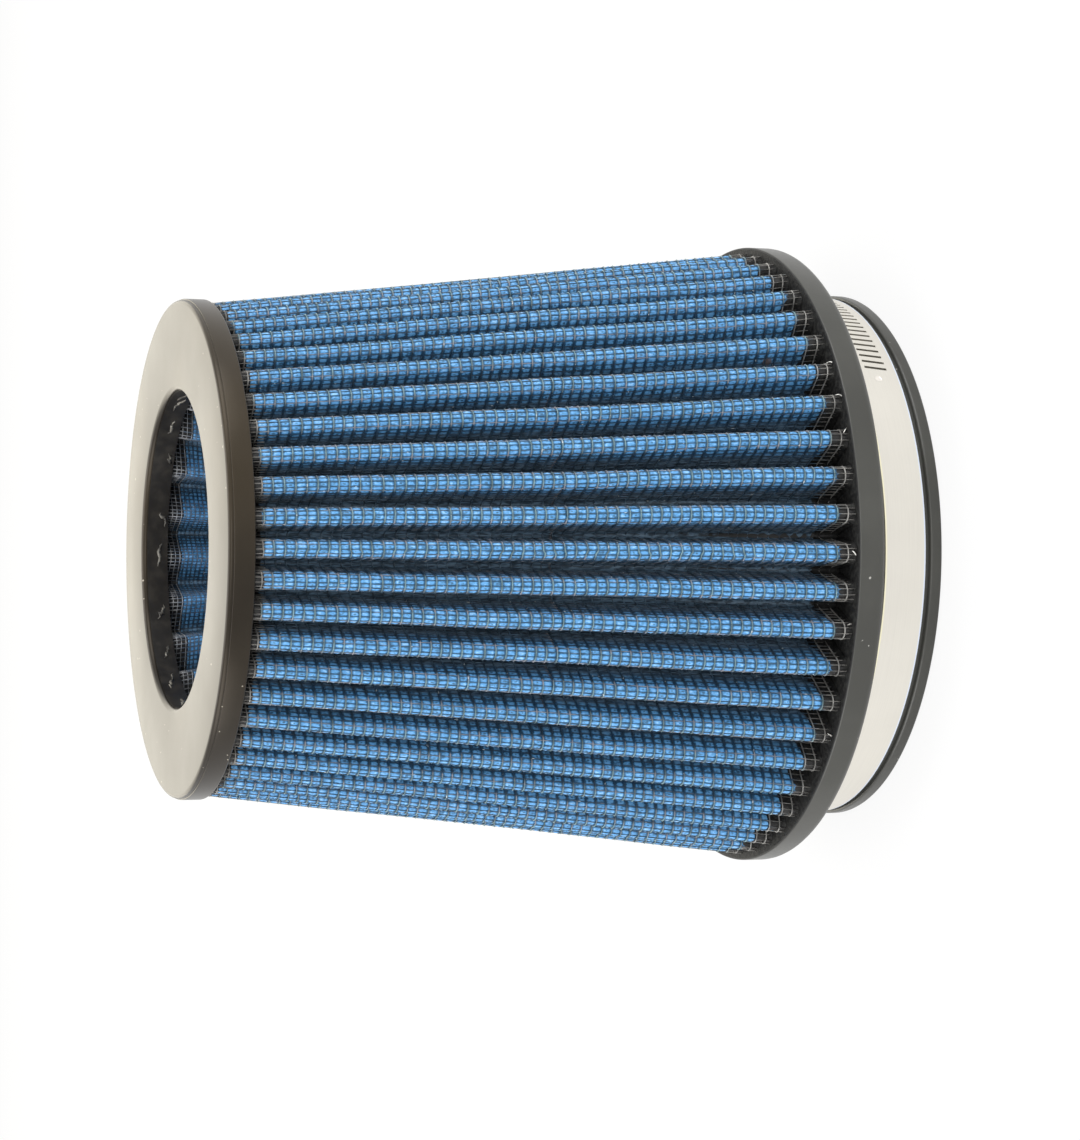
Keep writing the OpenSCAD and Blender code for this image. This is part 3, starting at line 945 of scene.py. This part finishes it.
def screen_wires(name, screen, turn, height, depth, radius, material, nodes, closed, bare_growth):
    """Wires at one depth of the media: one row of turns and heights for each.

    bare_growth thickens them where they stand free of the gauze.
    """
    paths, normals = on_pleats(screen.wall, turn, height, depth)
    facing = 1.0 if depth > 0 else -1.0
    bare = soaked_at(screen.wall, turn, height, facing)
    thick = radius * (1 + bare_growth * bare)
    piece = wire_bundle(name, paths, normals * facing, thick, closed)
    give_points(piece, "bare", np.repeat(bare.ravel(), 3))
    give_points(piece, "depth", np.repeat(screen_depth(turn, facing).ravel(), 3))
    return finish_piece(piece, material, "filter", "screen_wire", *nodes)


def upright_wires(name, screen, depth, material, node, stretches=13, every=1, bare_growth=0.45):
    """The wires that run along the pleats, each in a few straight stretches."""
    turn, height = screen_grid(screen)
    kept = np.unique(np.linspace(0, screen.rings, stretches + 1).round().astype(int))
    turn, height = turn[kept, ::every].T, height[kept, ::every].T
    radius = sizes().upright_radius
    return screen_wires(
        name, screen, turn, height, depth, radius, material, [node], False, bare_growth)


def ring_wires(name, screen, depth, material, first, last, halves):
    """The wires that run round the pleats; halves lists where they bend from crest to fold."""
    wall = screen.wall
    turn = turns_of(wall, halves)
    _, heights = screen_grid(screen)
    place = np.linspace(0, wall.pleats, screen.cells, endpoint=False)
    height = np.stack([
        np.interp(turn % wall.pleats, place, heights[ring]) for ring in range(first, last)])
    turn = np.broadcast_to(turn[None, :], height.shape)
    radius = sizes().ring_radius * screen.swell
    return screen_wires(name, screen, turn, height, depth, radius, material, [], True, 0.0)


CREST_BENDS = np.array([0, 0.075, 0.15, 0.225, 0.30, 0.40, 0.68, 0.93, 1.0])
FOLD_BENDS = np.array([0, 0.14, 0.50, 0.72, 0.86, 1.0])
PLAIN_BENDS = np.array([0, 0.14, 0.3, 0.9, 1.0])
SKIRT_BENDS = np.array([0, 0.03, 0.07, 0.11, 0.15, 0.19, 0.24, 0.32, 0.45, 0.65, 0.82, 1.0])
BACKING_PITCH = 6.5 * MM


class FILTER_OT_wall(bpy.types.Operator):
    """Model the pleated outer wall: gauze, outer screen and backing screen"""

    bl_idname = "filter.wall"
    bl_label = "Pleated wall"

    def execute(self, context):
        wall = outer_wall()
        screen = screen_of(wall, sizes().cells, sizes().mesh_pitch, seed=21)
        middle = screen.rings // 2
        gauze = gauze_finish()
        edge, bare = colours().crest_edge_highlight_wire, colours().bare_wire
        rings = wire_finish("ring_wire", colours().ring_wire, edge, bare)
        uprights = wire_finish("upright_wire", colours().upright_wire, edge, bare)
        lower = swollen_gauze("outer_gauze_lower", screen, 0, middle, 1, gauze)
        upper = swollen_gauze("outer_gauze_upper", screen, middle, screen.rings, 1, gauze)
        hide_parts("outer_gauze")
        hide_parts("outer_gauze")
        upright_wires("outer_wires_upright", screen, UPRIGHT_DEPTH, uprights, "outer_screen")
        ring_wires("outer_wires_round_lower", screen, RING_DEPTH, rings, 0, middle, CREST_BENDS)
        ring_wires(
            "outer_wires_round_upper", screen, RING_DEPTH, rings, middle, screen.rings + 1,
            CREST_BENDS)
        coarse = screen_of(wall, sizes().cells, BACKING_PITCH, seed=22)
        backing = backing_finish()
        upright_wires(
            "outer_backing_upright", coarse, -UPRIGHT_DEPTH, backing, "outer_backing_screen",
            stretches=9, every=2)
        ring_wires(
            "outer_backing_round", coarse, -RING_DEPTH, backing, 0, coarse.rings + 1, PLAIN_BENDS)
        return {"FINISHED"}


class FILTER_OT_cone(bpy.types.Operator):
    """Model the inverted pleated cone in the nose: gauze and its two screens"""

    bl_idname = "filter.cone"
    bl_label = "Inverted cone"

    def execute(self, context):
        wall = nose_cone()
        screen = screen_of(wall, sizes().cone_cells, sizes().cone_pitch, seed=31, swell=0.6)
        gauze = bpy.data.materials["cotton_gauze"]
        backing = bpy.data.materials["backing_wire"]
        cone_wire = wire_finish("cone_wire", CONE_BLUE, CONE_EDGE, colours().cone_bare_wire_lightened)
        piece = swollen_gauze("cone_gauze_swollen", screen, 0, screen.rings, -1, gauze)
        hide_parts("cone_gauze")
        upright_wires(
            "cone_wires_upright", screen, -UPRIGHT_DEPTH, cone_wire, "cone_screen", bare_growth=0.9)
        ring_wires(
            "cone_wires_round", screen, -RING_DEPTH, cone_wire, 0, screen.rings + 1, FOLD_BENDS)
        coarse = screen_of(wall, sizes().cone_cells, BACKING_PITCH, seed=32)
        upright_wires(
            "cone_backing_upright", coarse, UPRIGHT_DEPTH, backing, "cone_backing_screen",
            stretches=9, every=2)
        ring_wires(
            "cone_backing_round", coarse, RING_DEPTH, backing, 0, coarse.rings + 1, PLAIN_BENDS)
        return {"FINISHED"}


def wicked_skirt(name, wall, material):
    """Urethane that climbs the flanks above the base and leaves only the crests free."""
    turn = turns_of(wall, SKIRT_BENDS)
    draw = np.random.default_rng(41)
    uneven = np.repeat(draw.uniform(0.85, 1.15, wall.pleats), len(turn) // wall.pleats)
    ragged = draw.uniform(0.9, 1.1, len(turn))
    depth = depth_of(turn)
    flank_climb = 4.0 * MM * smooth_step(0.05, 0.26, depth)
    fold_climb = 2.6 * MM * smooth_step(0.3, 0.9, depth)
    top = (0.5 * MM + flank_climb + fold_climb) * uneven * ragged
    rows = np.linspace(0, 1, 7)[:, None]
    flare = 1.1 * MM * smooth_step(0.06, 0.24, depth) + 0.1 * MM
    outside = GAUZE_HALF + flare[None, :] * (1 - rows) ** 4
    inside = np.full((2, len(turn)), 0.2 * MM)
    foot = 0.3 * MM
    z = wall.low[0] - foot + (top[None, :] + foot) * np.concatenate([rows, [[1], [0]]])
    points, _ = on_pleats(wall, np.broadcast_to(turn, z.shape), z, np.concatenate([outside, inside]))
    # No point crosses the middle of its fold
    crest = wall.phase + 2 * math.pi * np.round(turn)[None, :] / wall.pleats
    swing = np.arctan2(points[..., 1], points[..., 0]) - crest
    swing = (swing + math.pi) % (2 * math.pi) - math.pi
    limit = math.pi / wall.pleats
    radius = np.hypot(points[..., 0], points[..., 1])
    kept = crest + np.clip(swing, -limit, limit)
    points[..., 0] = radius * np.cos(kept)
    points[..., 1] = radius * np.sin(kept)
    # The inner rows close the shell
    quads = grid_faces(*z.shape)
    seam = grid_faces(2, len(turn))
    seam = np.where(seam < len(turn), seam + (len(z) - 1) * len(turn), seam - len(turn))
    piece = mesh_piece(name, points.reshape(-1, 3), quads, seam)
    return finish_piece(piece, material, "filter", "base_urethane")


def revolved(name, corners):
    """A ring spun from a profile whose corners are (radius, height, rounding)."""
    same_place = 0.001 * MM
    deselect()
    bpy.ops.mesh.primitive_circle_add(vertices=len(corners), fill_type="NGON")
    piece = bpy.context.object
    piece.name = piece.data.name = name
    for vertex, (radius, height, _) in zip(piece.data.vertices, corners):
        vertex.co = (radius, 0, height)
    places = [(Vector((radius, 0, height)), rounding) for radius, height, rounding in corners]
    for place, rounding in places:
        if not rounding:
            continue
        bpy.ops.object.mode_set(mode="EDIT")
        bpy.ops.mesh.select_all(action="DESELECT")
        bpy.ops.object.mode_set(mode="OBJECT")
        for vertex in piece.data.vertices:
            vertex.select = (vertex.co - place).length < same_place
        bpy.ops.object.mode_set(mode="EDIT")
        bpy.ops.mesh.select_mode(type="VERT")
        bpy.ops.mesh.bevel(
            offset_type="OFFSET", offset=rounding, segments=6, affect="VERTICES", profile=0.5)
        bpy.ops.object.mode_set(mode="OBJECT")
    bpy.ops.object.mode_set(mode="EDIT")
    bpy.ops.mesh.select_all(action="SELECT")
    bpy.ops.mesh.delete(type="ONLY_FACE")
    bpy.ops.mesh.select_all(action="SELECT")
    bpy.ops.mesh.spin(
        steps=SPIN_STEPS, angle=2 * math.pi, use_auto_merge=True, center=(0, 0, 0), axis=(0, 0, 1))
    bpy.ops.mesh.select_all(action="SELECT")
    bpy.ops.mesh.remove_doubles(threshold=2 * same_place)
    bpy.ops.mesh.normals_make_consistent(inside=False)
    bpy.ops.object.mode_set(mode="OBJECT")
    active_only(piece)
    bpy.ops.object.shade_smooth_by_angle(angle=math.radians(32))
    return piece


def base_ring(material):
    """The base moulding: bead, neck, tube ledge and flange."""
    bead_radius = NECK_RADIUS + 1.4 * MM
    bead_top = 3.8 * MM
    ledge_radius = BORE_RADIUS - 1.3 * MM
    piece = revolved("base_moulding", [
        (BORE_RADIUS, 0, 0), (bead_radius, 0, 0.8 * MM), (bead_radius, bead_top, 0.8 * MM),
        (NECK_RADIUS, bead_top, 0), (NECK_RADIUS, NECK_TOP, 0),
        (BASE_RADIUS, NECK_TOP, 2.5 * MM), (BASE_RADIUS, BASE_TOP, 0.5 * MM),
        (ledge_radius, BASE_TOP, 0), (ledge_radius, NECK_TOP, 0), (BORE_RADIUS, NECK_TOP, 0)])
    return finish_piece(piece, material, "filter", "base_urethane", "base_boot")


def nose_moulding(material):
    """The nose ring, with the small step that its mould left round the outer upper edge."""
    step = 0.35 * MM
    step_z = NOSE_TOP - 1.5 * MM
    piece = revolved("nose_moulding", [
        (HOLE_RADIUS, NOSE_BOTTOM, 0), (NOSE_RADIUS, NOSE_BOTTOM, 0.6 * MM),
        (NOSE_RADIUS, step_z, 0.3 * MM), (NOSE_RADIUS - step, step_z, 0),
        (NOSE_RADIUS - step, NOSE_TOP, 1.15 * MM), (HOLE_RADIUS, NOSE_TOP, 1.4 * MM)])
    return finish_piece(piece, material, "filter", "nose_urethane", "nose_ring")


def hole_skin(material):
    """A thin skin on the wall of the nose hole."""
    face = HOLE_RADIUS - 0.05 * MM
    back = HOLE_RADIUS + 0.5 * MM
    low = NOSE_BOTTOM - 0.4 * MM
    high = NOSE_TOP - 1.6 * MM
    piece = revolved("hole_skin", [(face, low, 0), (back, low, 0), (back, high, 0), (face, high, 0)])
    return finish_piece(piece, material, "filter", "nose_urethane")


def hole_wrinkles(material):
    """The broken ridges where the skin in the nose hole wrinkled."""
    wrinkles = 20
    knots = 11
    draw = np.random.default_rng(51)
    start = math.radians(360 / wrinkles) * (np.arange(wrinkles) + draw.uniform(-0.3, 0.3, wrinkles))
    reach = np.radians(draw.uniform(5, 15, wrinkles))
    share = np.linspace(0, 1, knots)
    wobble = np.radians(draw.normal(0, 0.35, (wrinkles, knots)))
    turn = start[:, None] + reach[:, None] * share + wobble
    climb = draw.choice([0.0, 1.2, 2.2, -1.5], (wrinkles, 1)) * share
    kink = np.cumsum(draw.normal(0, 0.34, (wrinkles, knots)), 1)
    height = NOSE_BOTTOM + (1.6 + np.clip(climb + kink, -1.2, 3.2)) * MM
    girth = (0.08 + 0.40 * np.sin(math.pi * share) * draw.uniform(0.6, 1.4, (wrinkles, knots))) * MM
    outward = np.stack([np.cos(turn), np.sin(turn), np.zeros_like(turn)], -1)
    paths = outward * (HOLE_RADIUS - 0.05 * MM)
    paths[..., 2] = height
    piece = wire_bundle("hole_wrinkles", paths, -outward, girth, False, 6)
    return finish_piece(piece, material, "filter", "nose_urethane")


def poured_ring(material):
    """The black pour that fills the flange up to its rim."""
    inner = BORE_RADIUS + 1 * MM
    outer = BASE_RADIUS - 0.5 * MM
    low = BASE_TOP - 0.1 * MM
    high = BASE_TOP + 0.15 * MM
    piece = revolved("poured_urethane", [
        (inner, low, 0), (outer, low, 0), (outer, high, 0.1 * MM), (inner, high, 0)])
    return finish_piece(piece, material, "filter", "base_urethane")


def bent_tips(wall, material):
    """Cut ends of the screen that stick out at the rim, bent and bright."""
    crests = np.array([-17, -12, -5, -2, 0, 3, 4, 5, 9, 14, 19, 23])
    draw = np.random.default_rng(61)
    share = np.linspace(0, 1, 6)[None, :]
    size = draw.uniform(0.5, 1.1, (len(crests), 1))
    lean = draw.uniform(-0.05, 0.07, (len(crests), 1))
    turn = crests[:, None] + draw.uniform(0.02, 0.10, (len(crests), 1)) + lean * share
    height = wall.low[0] + (1.5 - 1.3 * share * size) * MM
    outside = (0.8 + 0.6 * size * np.sin(math.pi * share * 0.7)) * MM
    paths, normals = on_pleats(wall, turn, height, outside)
    thick = (0.14 + 0.10 * share * size) * MM
    piece = wire_bundle("bent_wire_tips", paths, normals, thick, False, 6)
    return finish_piece(piece, material, "filter", "screen_wire")


class FILTER_OT_mouldings(bpy.types.Operator):
    """Finish the cast urethane: base, nose ring, cap and the urethane in the folds"""

    bl_idname = "filter.mouldings"
    bl_label = "Urethane mouldings"

    def execute(self, context):
        base = base_finish()
        base_ring(base)
        use_finish(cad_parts["cone_end_cap"], base)
        nose_moulding(nose_finish())
        hole_skin(liner_finish())
        hole_wrinkles(ridge_finish())
        black = wick_finish()
        wicked_skirt("wicked_urethane_base", outer_wall(), black)
        poured_ring(black)
        bent_tips(outer_wall(), tip_finish())
        return {"FINISHED"}


WORM_TURN = math.radians(62)
WORM_CENTRE = 86.6 * MM
PLATE_FACE = 6.75 * MM
COLLAR_TOP = 7.95 * MM


def worm_frame():
    """Matrix that lays +Z along the worm, from its riveted end to its head."""
    low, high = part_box("clamp_screw")
    outward = Vector((math.cos(WORM_TURN), math.sin(WORM_TURN), 0))
    along = Vector((-math.sin(WORM_TURN), math.cos(WORM_TURN), 0))
    centre = Vector((
        WORM_CENTRE * math.cos(WORM_TURN), WORM_CENTRE * math.sin(WORM_TURN), (low.z + high.z) / 2))
    turned = Matrix((outward, along.cross(outward), along)).transposed().to_4x4()
    return Matrix.Translation(centre) @ turned


def worm_thread(name):
    """The threaded barrel with its two journals, closed at both ends."""
    steps_round = 40
    tip_radius = 4.0 * MM
    root_radius = 3.15 * MM
    journal_radius = 2.8 * MM
    half = 4.95 * MM
    pitch = 2.7 * MM
    z = np.linspace(-half, half, 76)
    angle = 2 * math.pi * np.arange(steps_round) / steps_round
    phase = (z[:, None] / pitch - angle[None, :] / (2 * math.pi)) % 1.0
    tooth = 1 - smooth_step(0.16, 0.34, np.abs(phase - 0.5))
    ends = smooth_step(0, 0.7 * MM, half - np.abs(z))[:, None]
    barrel = root_radius + (tip_radius - root_radius) * tooth * ends
    journal = np.full((2, steps_round), journal_radius)
    z = np.concatenate([[-PLATE_FACE, -half], z, [half, PLATE_FACE]])
    radius = np.concatenate([journal, barrel, journal])
    x, y = radius * np.cos(angle), radius * np.sin(angle)
    points = np.stack([x, y, np.broadcast_to(z[:, None], radius.shape)], -1)
    lids = np.arange(steps_round)[None, :]
    return mesh_piece(
        name, points.reshape(-1, 3), grid_faces(*radius.shape), lids[:, ::-1],
        lids + (len(z) - 1) * steps_round)


def turned_disc(name, radius, low, high, sides, edge):
    """A disc or hexagon on the worm's axis with bevelled edges."""
    deselect()
    bpy.ops.mesh.primitive_cylinder_add(
        vertices=sides, radius=radius, depth=high - low, location=(0, 0, (low + high) / 2))
    disc = bpy.context.object
    disc.name = name
    bpy.ops.object.transform_apply(location=True)
    bevel = disc.modifiers.new("edges", "BEVEL")
    bevel.width = edge
    bevel.segments = 3
    bevel.limit_method = "ANGLE"
    bevel.angle_limit = math.radians(40)
    bpy.ops.object.modifier_apply(modifier=bevel.name)
    bpy.ops.object.shade_smooth_by_angle(angle=math.radians(35))
    return disc


def cut_slot(head, width, top, depth, length):
    """Cuts the screwdriver slot across the head."""
    deselect()
    bpy.ops.mesh.primitive_cube_add(size=1, location=(0, 0, top))
    cutter = bpy.context.object
    cutter.scale = (length, width, 2 * depth)
    bpy.ops.object.transform_apply(location=True, scale=True)
    active_only(head)
    cut = head.modifiers.new("slot", "BOOLEAN")
    cut.operation = "DIFFERENCE"
    cut.object = cutter
    bpy.ops.object.modifier_apply(modifier=cut.name)
    bpy.data.objects.remove(cutter)


def worm_screw(material):
    """The worm with its thread, collar, slotted hex head and riveted end."""
    head_top = COLLAR_TOP + 5 * MM
    head_radius = 3.5 * MM / math.cos(math.pi / 6)
    parts = [
        worm_thread("worm_screw"),
        turned_disc("collar", 4.1 * MM, PLATE_FACE, COLLAR_TOP, sides=48, edge=0.25 * MM),
        turned_disc("rivet", 3.4 * MM, -COLLAR_TOP, -PLATE_FACE, sides=40, edge=0.35 * MM),
        turned_disc("hex", head_radius, COLLAR_TOP, head_top, sides=6, edge=0.3 * MM)]
    cut_slot(parts[-1], width=1.3 * MM, top=head_top, depth=2 * MM, length=14 * MM)
    place = worm_frame()
    for part in parts:
        part.data.transform(place)
    active_only(parts[0])
    for part in parts[1:]:
        part.select_set(True)
    bpy.ops.object.join()
    return finish_piece(parts[0], material, "worm", "screw_steel", "clamp_screw")


class FILTER_OT_clamp(bpy.types.Operator):
    """Finish the worm-drive clamp"""

    bl_idname = "filter.clamp"
    bl_label = "Worm-drive clamp"

    def execute(self, context):
        use_finish(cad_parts["clamp_band"], band_finish())
        use_finish(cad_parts["clamp_housing"], housing_finish())
        worm_screw(screw_finish())
        return {"FINISHED"}


# Studio

MIDDLE = Vector((0, 0, 100 * MM))
WHITE = (1, 1, 1, 1)


def camera_place(studio):
    """Rotation and location of the camera, which is turned so that the nose points left."""
    tilt = studio.elevation
    forward = Vector((0, math.cos(tilt), -math.sin(tilt)))
    side = Vector((1, 0, 0))
    up = side.cross(forward)
    location = (
        MIDDLE - forward * studio.distance - up * studio.offset_up - side * studio.offset_side)
    turned = Matrix((-up, side, -forward)).transposed().to_4x4()
    return Matrix.Translation(location) @ turned @ Matrix.Rotation(studio.roll, 4, "Z")


# Each lamp's name, place, size, power and colour
SOFTBOXES = (
    ("softbox_above", (0, 0.25, 1.3), (1.3, 1.3), 14, (1, 1, 1)),
    ("softbox_behind", (0, 1.5, 0.75), (2.4, 1.1), 13.5, (1.0, 0.93, 0.74)),
    ("softbox_right", (1.3, -0.5, 0.5), (1.0, 1.4), 14, (1, 1, 1)),
    ("softbox_left", (-1.3, -0.5, 0.5), (1.0, 1.4), 14, (1, 1, 1)),
    ("softbox_front", (0, -1.5, 0.9), (1.0, 0.6), 6, (1, 1, 1)),
)


def softbox(name, place, size, power, colour):
    """A soft lamp that faces the filter's middle."""
    deselect()
    bpy.ops.object.light_add(type="AREA", location=place)
    lamp = bpy.context.object
    lamp.name = name
    lamp.data.shape = "RECTANGLE"
    lamp.data.size, lamp.data.size_y = size
    lamp.data.energy = power
    lamp.data.color = colour
    lamp.rotation_mode = "QUATERNION"
    lamp.rotation_quaternion = (MIDDLE - Vector(place)).to_track_quat("-Z", "Y")


def floor_finish():
    """Pale floor that shows white to the camera and in gloss, and keeps a soft shadow."""
    paint = Paint("studio_floor", Base_Color=(0.9, 0.9, 0.9, 1), Roughness=0.9, Specular_IOR_Level=0.0)
    glow = paint.node("ShaderNodeEmission", None, {"Color": WHITE, "Strength": 1.0})
    paint.mix_shaders(
        paint.shown_white() * 0.9, paint.shader.outputs[0], glow.outputs[0], "Material Output")
    return paint.material


def studio_world():
    """White to the camera and in gloss, and a soft grey fill for everything else."""
    world = bpy.data.worlds.new("studio")
    bpy.context.scene.world = world
    nodes = Nodes(world)
    fill = nodes.tree.nodes["Background"]
    fill.inputs["Color"].default_value = WHITE
    fill.inputs["Strength"].default_value = 0.45
    backdrop = nodes.node("ShaderNodeBackground", None, {"Color": WHITE, "Strength": 1.0})
    nodes.mix_shaders(nodes.shown_white(), fill.outputs[0], backdrop.outputs[0], "World Output")


def product_camera(studio):
    """The camera at the photograph's angle, which the scene then uses."""
    picture_height_px = 1140
    deselect()
    bpy.ops.object.camera_add()
    camera = bpy.context.object
    camera.name = "product_camera"
    camera.matrix_world = camera_place(studio)
    camera.data.sensor_fit = "AUTO"
    camera.data.sensor_width = 36
    camera.data.lens = studio.focal_px / picture_height_px * camera.data.sensor_width
    camera.data.clip_start = 0.01
    camera.data.clip_end = 50
    bpy.context.scene.camera = camera


class FILTER_OT_stage(bpy.types.Operator):
    """Set the floor, the soft lights and the camera"""

    bl_idname = "filter.stage"
    bl_label = "Stage"

    def execute(self, context):
        below = CAD_BOX[0].z - 0.05 * MM
        deselect()
        bpy.ops.mesh.primitive_plane_add(size=12, location=(0, 0, below))
        floor = context.object
        floor.name = "studio_floor"
        floor.data.materials.append(floor_finish())
        for lamp in SOFTBOXES:
            softbox(*lamp)
        studio_world()
        product_camera(context.scene.filter_studio)
        context.scene.view_settings.view_transform = "Standard"
        return {"FINISHED"}


class FILTER_PT_panel(bpy.types.Panel):
    """Lists the steps in their order"""

    bl_idname = "FILTER_PT_panel"
    bl_label = "Cone filter"
    bl_space_type = "VIEW_3D"
    bl_region_type = "UI"
    bl_category = "Filter"

    def draw(self, context):
        for operator in OPERATORS:
            self.layout.operator(operator.bl_idname)


GROUPS = (FilterSizes, FilterColours, StudioSettings)
OPERATORS = (FILTER_OT_wall, FILTER_OT_cone, FILTER_OT_mouldings, FILTER_OT_clamp, FILTER_OT_stage)


def register():
    for made in (*GROUPS, *OPERATORS, FILTER_PT_panel):
        bpy.utils.register_class(made)
    bpy.types.Scene.filter_sizes = PointerProperty(type=FilterSizes)
    bpy.types.Scene.filter_colours = PointerProperty(type=FilterColours)
    bpy.types.Scene.filter_studio = PointerProperty(type=StudioSettings)


def unregister():
    del bpy.types.Scene.filter_sizes
    del bpy.types.Scene.filter_colours
    del bpy.types.Scene.filter_studio
    for made in (FILTER_PT_panel, *reversed(OPERATORS), *reversed(GROUPS)):
        bpy.utils.unregister_class(made)


def main():
    register()
    bpy.ops.filter.wall()
    bpy.ops.filter.cone()
    bpy.ops.filter.mouldings()
    bpy.ops.filter.clamp()
    bpy.ops.filter.stage()


if __name__ == "__main__":
    main()
